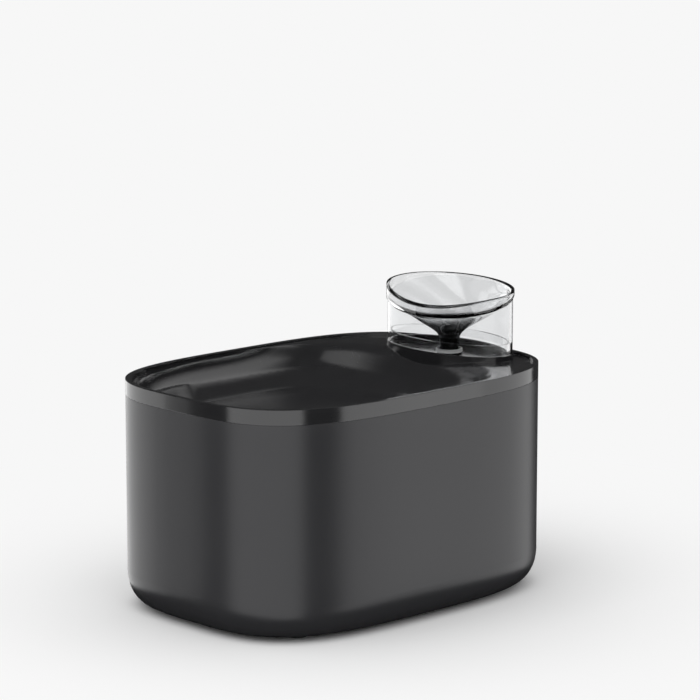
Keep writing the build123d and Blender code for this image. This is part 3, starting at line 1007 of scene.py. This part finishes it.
    def refine(self, bm: bmesh.types.BMesh) -> None:
        """Splits the long edges under the skirt, so that the bowl can be reshaped smoothly.

        Args:
            bm: the shell's mesh.
        """
        for _ in range(self.splits):
            long = [
                edge for edge in bm.edges
                if edge.calc_length() > self.edge_limit(edge.verts[0].co + edge.verts[1].co)
                and min(v.co.z for v in edge.verts) < self.skirt_bottom
            ]
            bmesh.ops.subdivide_edges(bm, edges=long, cuts=1)
            bmesh.ops.triangulate(bm, faces=[face for face in bm.faces if len(face.verts) > 3])

    def shell(self) -> None:
        """Builds the tray with a shallower bowl in place of the plain solid."""
        bm = self.copied_solid()
        self.refine(bm)
        for vert in bm.verts:
            vert.co = self.settle(vert.co)
        joint = [vert for vert in bm.verts if self.at_joint(vert.co)]
        for _ in range(self.relaxing):
            bmesh.ops.smooth_vert(
                bm, verts=joint, factor=0.5, use_axis_x=True, use_axis_y=True, use_axis_z=True
            )
        for side in (-1.0, 1.0):
            self.cheek(bm, side)
        piece = add_piece("tray_shell", bm, FINISHES.tray, Body.LID)
        piece.data.set_sharp_from_angle(angle=math.radians(self.crease))
        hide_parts("lid_tray")


@dataclass
class FilterSet:
    """Cassette and the filter that drops into it."""

    def build(self) -> None:
        """Dresses the cassette and the filter."""
        dress({
            "cassette_frame": FINISHES.cassette,
            "filter_frame": FINISHES.filter_plastic,
            "filter_felt": FINISHES.felt,
            "filter_carbon": FINISHES.carbon,
            "filter_backing": FINISHES.felt,
        })


@dataclass
class FunnelForm:
    """The funnel's shape: a round neck that flares into a leaning oval with an upright band."""

    solid: SolidBox = field(default_factory=lambda: SolidBox.of("spout_bowl"))
    stem: SolidBox = field(default_factory=lambda: SolidBox.of("spout_stem"))
    # Radius where the flare starts, half length of the widest oval and how fast the ovals reach it.
    neck: float = 5.9 * MM
    half_x: float = 24.0 * MM
    spread_pace: float = 15.5 * MM
    # Height of the flare's start, and its rise by the root and the square of the spread, both in millimetres.
    start: float = 134.6 * MM
    root_rise: float = 2.9
    square_rise: float = 0.0042
    # The ovals lean up towards +X, from this half width on.
    lean: float = 0.41
    lean_from: float = 20.0 * MM
    lean_power: float = 1.5
    # Stations along X and heights of the rim line.
    rim: tuple[tuple[float, float], ...] = (
        (0.062, 0.1515), (0.067, 0.1558), (0.072, 0.1592), (0.080, 0.1628), (0.095, 0.1658), (0.117, 0.1690)
    )

    @property
    def axis_x(self) -> float:
        """Station of the funnel's axis, which is the stem's."""
        return self.stem.middle.x

    @property
    def half_y(self) -> float:
        """Half the funnel's width."""
        return self.solid.high.y

    def slice_size(self, half_y: float) -> tuple[float, float, float]:
        """Sizes of one oval slice.

        Args:
            half_y: the slice's half width.

        Returns:
            Its half length, its height on the axis and its lean.
        """
        spread = max(half_y - self.neck, 0.0)
        half_x = self.neck + (self.half_x - self.neck) * math.tanh(spread / self.spread_pace)
        spread_mm = spread / MM
        height = self.start + (self.root_rise * math.sqrt(spread_mm) + self.square_rise * spread_mm**2) * MM
        leaning = max(0.0, (half_y - self.lean_from) / (self.half_y - self.lean_from))
        lean = self.lean * leaning**self.lean_power
        return half_x, height, lean

    def rim_height(self, x: float) -> float:
        """Height of the rim line over a station, on a smooth curve through its points.

        Args:
            x: the station along the fountain.

        Returns:
            The rim's height.
        """
        points = self.rim
        x = min(max(x, points[0][0]), points[-1][0])
        slopes = [(b[1] - a[1]) / (b[0] - a[0]) for a, b in zip(points, points[1:])]
        tangents = [slopes[0], *((a + b) / 2 for a, b in zip(slopes, slopes[1:])), slopes[-1]]
        for index, (low, high) in enumerate(zip(points, points[1:])):
            if x <= high[0]:
                gap = high[0] - low[0]
                t = (x - low[0]) / gap
                return (
                    (2 * t**3 - 3 * t**2 + 1) * low[1]
                    + (t**3 - 2 * t**2 + t) * gap * tangents[index]
                    + (3 * t**2 - 2 * t**3) * high[1]
                    + (t**3 - t**2) * gap * tangents[index + 1]
                )
        return points[-1][1]


@dataclass
class Spout:
    """Clear funnel, shroud and stem."""

    form: FunnelForm = field(default_factory=FunnelForm)
    # The inner surface lies this far inside the outer one and this far above it.
    wall: float = 1.9 * MM
    inner_rise: float = 1.2 * MM
    neck_radius: float = 5.35 * MM
    # Mesh: meridians, levels of the flare and how they crowd towards the neck, and rows of the finished wall.
    around: int = 144
    levels: int = 56
    crowding: float = 1.6
    rows: int = 64
    # The wall is drawn this far past the rim line and then cut there, by halving the last stretch.
    overshoot: float = 40.0 * MM
    halvings: int = 40
    # Rounding of the rim: its steps and its height as a share of half the wall.
    tip_steps: int = 4
    tip_height: float = 0.25

    def build(self) -> None:
        """Builds the funnel and dresses the rest."""
        dress({
            "spout_shroud": FINISHES.clear,
            "spout_stem": FINISHES.stem,
            "spout_ring": FINISHES.silicone,
        })
        self.funnel()

    def profile(self, angle: float, inset: float, rise: float) -> list[Vector]:
        """One meridian of a funnel surface, from the neck's foot to the rim.

        Args:
            angle: direction from the funnel's axis.
            inset: how far the surface lies inside the outer one.
            rise: how far it lies above the outer one.

        Returns:
            Evenly spaced points.
        """
        form = self.form
        reach = (math.cos(angle), math.sin(angle))
        radius = self.neck_radius - inset
        raw = [
            Vector((form.axis_x + radius * reach[0], radius * reach[1], height))
            for height in (form.solid.low.z, form.stem.high.z + rise)
        ]
        for level in range(self.levels + 1):
            half_y = form.neck + (form.half_y - form.neck) * (level / self.levels) ** self.crowding
            half_x, height, lean = form.slice_size(half_y)
            offset = (half_x - inset) * reach[0]
            point = (form.axis_x + offset, (half_y - inset) * reach[1], height + rise + offset * lean)
            raw.append(Vector(point))
        raw.append(raw[-1] + Vector((0.0, 0.0, self.overshoot)))
        cut = next(i for i in range(1, len(raw)) if raw[i].z >= form.rim_height(raw[i].x))
        low, high = raw[cut - 1], raw[cut]
        for _ in range(self.halvings):
            middle = (low + high) / 2
            if middle.z < form.rim_height(middle.x):
                low = middle
            else:
                high = middle
        return self.respace([*raw[:cut], low])

    def respace(self, points: list[Vector]) -> list[Vector]:
        """Spreads points evenly along a line.

        Args:
            points: the line.

        Returns:
            The same line in self.rows equal steps.
        """
        lengths = [0.0]
        for start, end in zip(points, points[1:]):
            lengths.append(lengths[-1] + (end - start).length)
        spaced = []
        index = 0
        for step in range(self.rows + 1):
            target = lengths[-1] * step / self.rows
            while index < len(points) - 2 and lengths[index + 1] < target:
                index += 1
            span = lengths[index + 1] - lengths[index] or 1.0
            spaced.append(points[index].lerp(points[index + 1], (target - lengths[index]) / span))
        return spaced

    def tip(self, outside: Vector, inside: Vector, turn: float) -> Vector:
        """A point of the rounded rim.

        Args:
            outside: the outer surface's upper end.
            inside: the inner surface's upper end.
            turn: angle over the rim, from 0 outside to pi inside.

        Returns:
            The point.
        """
        middle, half = (outside + inside) / 2, (outside - inside) / 2
        lift = self.tip_height * half.length * (math.sin(turn) - 1.0)
        return middle + half * math.cos(turn) + Vector((0.0, 0.0, lift))

    def funnel(self) -> None:
        """Builds the funnel's wall with a rounded rim in place of the plain solid."""
        outer = [self.profile(angle, 0.0, 0.0) for angle in turns(self.around)]
        inner = [self.profile(angle, self.wall, self.inner_rise) for angle in turns(self.around)]
        rows = [[line[row] for line in outer] for row in range(self.rows + 1)]
        for step in range(1, self.tip_steps):
            turn = math.pi * step / self.tip_steps
            rows.append([self.tip(line[-1], inside[-1], turn) for line, inside in zip(outer, inner)])
        rows.extend([line[row] for line in inner] for row in range(self.rows, -1, -1))
        piece = add_piece("funnel_bowl", tube_skin(rows), FINISHES.funnel, Body.SPOUT)
        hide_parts("spout_bowl")


@dataclass
class Riser:
    """Riser tube with a stepped flange at its top."""

    solid: SolidBox = field(default_factory=lambda: SolidBox.of("riser_tube"))
    radius: float = 7.8 * MM
    bore: float = 7.0 * MM
    # The mouth's flange is as wide as the solid's, and a lower step carries it.
    flange_height: float = 1.9 * MM
    step_radius: float = 9.0 * MM
    step_height: float = 1.8 * MM
    # The foot's socket, which fits over the pump's nipple.
    socket_radius: float = 5.7 * MM
    socket_top: float = 52.4 * MM
    # Width of the broken edges, and the turn in degrees above which an edge stays sharp.
    edge: float = 0.2 * MM
    crease: float = 30.0
    around: int = 96

    def section(self) -> list[tuple[float, float]]:
        """Half section of the tube, as radii and heights, with broken edges on the flange.

        Returns:
            The section's corners in order.
        """
        bottom, top, flange = self.solid.low.z, self.solid.high.z, self.solid.high.y
        under = top - self.flange_height
        start = under - self.step_height
        edge = self.edge
        return [
            (self.radius, bottom),
            (self.radius, start - edge), (self.radius + edge, start),
            (self.step_radius - edge, start), (self.step_radius, start + edge),
            (self.step_radius, under - edge), (self.step_radius + edge, under),
            (flange - edge, under), (flange, under + edge),
            (flange, top - edge), (flange - edge, top),
            (self.bore + edge, top), (self.bore, top - edge),
            (self.bore, self.socket_top),
            (self.socket_radius, self.socket_top),
            (self.socket_radius, bottom),
        ]

    def build(self) -> None:
        """Builds the tube in place of the plain solid."""
        axis = Vector((self.solid.middle.x, 0.0, 0.0))
        rows = [
            [axis + Vector((far * math.cos(turn), far * math.sin(turn), up)) for turn in turns(self.around)]
            for far, up in self.section()
        ]
        dress({"riser_tube": FINISHES.riser})
        piece = add_piece("stepped_riser", tube_skin(rows), FINISHES.riser, Body.RISER)
        piece.data.set_sharp_from_angle(angle=math.radians(self.crease))
        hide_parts("riser_tube")


# ---------------------------------------------------------------- studio


@dataclass(frozen=True)
class Softbox:
    """A bright panel that only gloss sees: a band of directions with soft edges, in degrees.

    Its azimuth is the direction of its middle, from +X towards +Y, and low and high are its elevations.
    """

    azimuth: float
    half_width: float
    low: float
    high: float
    strength: float
    edge: float = 4.0


@dataclass
class Studio:
    """Pale floor, plain light and the soft panels that show in gloss."""

    # Brightness of what the camera sees, of the light on matte faces and of the room between the panels.
    background: float = 0.93
    plain_light: float = 0.88
    gloss_room: float = 0.04
    # The floor's own tone gives way to the background between these distances from the middle.
    floor_tone: float = 0.9
    floor_radius: float = 6.0
    fade_start: float = 0.14
    fade_end: float = 0.38
    card_half: tuple[float, float] = (0.15, 0.115)
    card_drop: float = 0.4 * MM
    card_tone: float = 0.01
    lamp_size: float = 1.6
    lamp_energy: float = 9.0
    lamp_place: Point = (-0.7, -0.2, 1.7)
    lamp_aim: Point = (0.0, 0.0, 0.1)
    # Azimuth, half width, lower and upper elevation, strength and edge of each panel.
    softboxes: tuple[Softbox, ...] = (
        Softbox(94.7, 34.8, -75.0, 12.0, 1.84, 0.7),
        Softbox(205.5, 48.5, -75.0, 20.0, 2.16, 3.5),
        Softbox(303.5, 17.0, -75.0, 6.0, 2.16, 2.0),
        Softbox(341.5, 21.0, -75.0, 6.0, 1.68, 2.5),
        Softbox(340.0, 40.0, 30.0, 62.0, 1.52, 10.0),
        Softbox(150.0, 60.0, 58.0, 95.0, 1.04, 10.0),
    )

    def build(self) -> None:
        """Builds the floor, the world and the lamps."""
        self.floor()
        self.shadow_card()
        self.world()
        self.lamps()

    @staticmethod
    def disc(name: str, half: tuple[float, float], coating: str) -> tuple[bpy.types.Object, NodeSheet]:
        """Flat disc on the ground with an empty material.

        Args:
            name: the disc's name.
            half: its half length and half width.
            coating: its material's name.

        Returns:
            The object and its material's sheet.
        """
        bm = bmesh.new()
        bmesh.ops.create_circle(bm, cap_ends=True, segments=96, radius=1.0)
        bmesh.ops.scale(bm, vec=(*half, 1.0), verts=bm.verts)
        mesh = bpy.data.meshes.new(name)
        bm.to_mesh(mesh)
        bm.free()
        made, sheet = empty_material(coating)
        mesh.materials.append(made)
        disc = bpy.data.objects.new(name, mesh)
        bpy.context.scene.collection.objects.link(disc)
        LOG.info("built %s", name)
        return disc, sheet

    @staticmethod
    def seen(sheet: NodeSheet, path: Node) -> Socket:
        """Mask of the rays that the camera sends out, straight or through clear plastic.

        Args:
            sheet: the nodes.
            path: their Light Path node.

        Returns:
            The mask's socket.
        """
        straight = path.outputs[RayKind.CAMERA.value]
        return sheet.math("MAXIMUM", straight, path.outputs[RayKind.TRANSMISSION.value])

    def floor(self) -> None:
        """Round pale floor that fades into the background."""
        ground, sheet = self.disc("studio_floor", (self.floor_radius, self.floor_radius), "pale_floor")
        ground.visible_glossy = False
        matte = sheet.add("ShaderNodeBsdfDiffuse", Color=grey(self.floor_tone))
        glow = sheet.add("ShaderNodeEmission", Strength=1.0, Color=grey(self.background))
        place = sheet.add("ShaderNodeTexCoord").outputs["Object"]
        far = sheet.add("ShaderNodeVectorMath", operation="LENGTH")
        sheet.join(place, far.inputs[0])
        fade = sheet.fade(far.outputs["Value"], self.fade_start, self.fade_end)
        seen = self.seen(sheet, sheet.add("ShaderNodeLightPath"))
        mix = sheet.add("ShaderNodeMixShader")
        sheet.join(sheet.math("MULTIPLY", fade, seen), mix.inputs[0])
        sheet.join(matte.outputs[0], mix.inputs[1])
        sheet.join(glow.outputs[0], mix.inputs[2])
        sheet.join(mix.outputs[0], sheet.add("ShaderNodeOutputMaterial").inputs["Surface"])

    def shadow_card(self) -> None:
        """Black card under the tank that only gloss sees: it stands for the shade on the floor there."""
        card, sheet = self.disc("shadow_card", self.card_half, "card_black")
        card.location.z = -self.card_drop
        card.visible_camera = False
        card.visible_diffuse = False
        card.visible_transmission = False
        card.visible_shadow = False
        matte = sheet.add("ShaderNodeBsdfDiffuse", Color=grey(self.card_tone))
        sheet.join(matte.outputs[0], sheet.add("ShaderNodeOutputMaterial").inputs["Surface"])

    def world(self) -> None:
        """White to the camera and through clear plastic, even light on matte faces, soft panels in gloss."""
        world = bpy.data.worlds.new("studio_world")
        bpy.context.scene.world = world
        world.use_nodes = True
        world.node_tree.nodes.clear()
        world.cycles.sampling_method = "NONE"
        sheet = NodeSheet(world.node_tree)
        direction = sheet.add("ShaderNodeTexCoord").outputs["Generated"]
        apart = sheet.add("ShaderNodeSeparateXYZ")
        sheet.join(direction, apart.inputs[0])
        elevation = sheet.math("MULTIPLY", sheet.math("ARCSINE", apart.outputs["Z"]), math.degrees(1.0))
        gloss: Socket | float = self.gloss_room
        for panel in self.softboxes:
            gloss = sheet.math("ADD", self.panel(sheet, panel, apart, elevation), gloss)
        path = sheet.add("ShaderNodeLightPath")
        seen = self.seen(sheet, path)
        glossy = path.outputs[RayKind.GLOSSY.value]
        other = sheet.math("SUBTRACT", 1.0, sheet.math("MAXIMUM", seen, glossy))
        total = sheet.math("MULTIPLY", seen, self.background)
        for mask, brightness in ((glossy, gloss), (other, self.plain_light)):
            total = sheet.math("ADD", total, sheet.math("MULTIPLY", mask, brightness))
        back = sheet.add("ShaderNodeBackground", Color=grey(1.0))
        sheet.join(total, back.inputs["Strength"])
        sheet.join(back.outputs[0], sheet.add("ShaderNodeOutputWorld").inputs["Surface"])
        LOG.info("built the world")

    @staticmethod
    def panel(sheet: NodeSheet, panel: Softbox, apart: Node, elevation: Socket) -> Socket:
        """Brightness of one soft panel in a direction.

        Args:
            sheet: the world's nodes.
            panel: the panel.
            apart: the direction's three parts.
            elevation: the direction's elevation in degrees.

        Returns:
            The brightness socket.
        """
        facing = math.radians(panel.azimuth)
        east, north = apart.outputs["X"], apart.outputs["Y"]
        ahead = sheet.math(
            "ADD",
            sheet.math("MULTIPLY", east, math.cos(facing)),
            sheet.math("MULTIPLY", north, math.sin(facing)),
        )
        aside = sheet.math(
            "SUBTRACT",
            sheet.math("MULTIPLY", north, math.cos(facing)),
            sheet.math("MULTIPLY", east, math.sin(facing)),
        )
        turn = sheet.math("ARCTAN2", aside, ahead)
        off = sheet.math("MULTIPLY", sheet.math("ABSOLUTE", turn), math.degrees(1.0))
        across = sheet.fade(off, panel.half_width + panel.edge, panel.half_width - panel.edge)
        above = sheet.fade(elevation, panel.low - panel.edge, panel.low + panel.edge)
        below = sheet.fade(elevation, panel.high + panel.edge, panel.high - panel.edge)
        inside = sheet.math("MULTIPLY", across, sheet.math("MULTIPLY", above, below))
        return sheet.math("MULTIPLY", inside, panel.strength)

    def lamps(self) -> None:
        """One broad lamp above, which gives the floor its soft shadow."""
        data = bpy.data.lights.new("overhead_lamp", "AREA")
        data.shape = "RECTANGLE"
        data.size = data.size_y = self.lamp_size
        data.energy = self.lamp_energy
        lamp = bpy.data.objects.new("overhead_lamp", data)
        lamp.location = self.lamp_place
        lamp.rotation_euler = (Vector(self.lamp_aim) - lamp.location).to_track_quat("-Z", "Y").to_euler()
        lamp.visible_glossy = False
        bpy.context.scene.collection.objects.link(lamp)
        LOG.info("built the lamp")


@dataclass
class StudioCamera:
    """Long-lens camera that looks down a little at the filter end and the front."""

    # Degrees round and above the fountain.
    azimuth: float = -43.297
    elevation: float = 10.813
    place: Point = (-1.2296, -1.3177, 0.4836)
    # Millimetres.
    lens: float = 168.718
    sensor: float = 36.0
    # Metres.
    nearest: float = 0.05
    farthest: float = 60.0

    def build(self) -> None:
        """Places the camera and makes it the scene's own."""
        data = bpy.data.cameras.new("studio_camera")
        data.lens, data.sensor_width, data.sensor_fit = self.lens, self.sensor, "HORIZONTAL"
        data.clip_start, data.clip_end = self.nearest, self.farthest
        camera = bpy.data.objects.new("studio_camera", data)
        around, up = math.radians(self.azimuth), math.radians(self.elevation)
        back = Vector((math.sin(around) * math.cos(up), -math.cos(around) * math.cos(up), math.sin(up)))
        right = Vector((math.cos(around), math.sin(around), 0.0))
        turn = Matrix((right, back.cross(right), back)).transposed()
        camera.matrix_world = Matrix.Translation(self.place) @ turn.to_4x4()
        bpy.context.scene.collection.objects.link(camera)
        bpy.context.scene.camera = camera
        LOG.info("placed the camera")


def main() -> None:
    """Builds the studio and the fountain in order."""
    logging.basicConfig(level=logging.INFO, format="%(name)s: %(message)s")
    bpy.context.scene.view_settings.view_transform = "Standard"
    StudioCamera().build()
    Studio().build()
    for part in (Tank(), Pump(), DrinkingTray(), FilterSet(), Spout(), Riser()):
        part.build()


if __name__ == "__main__":
    main()
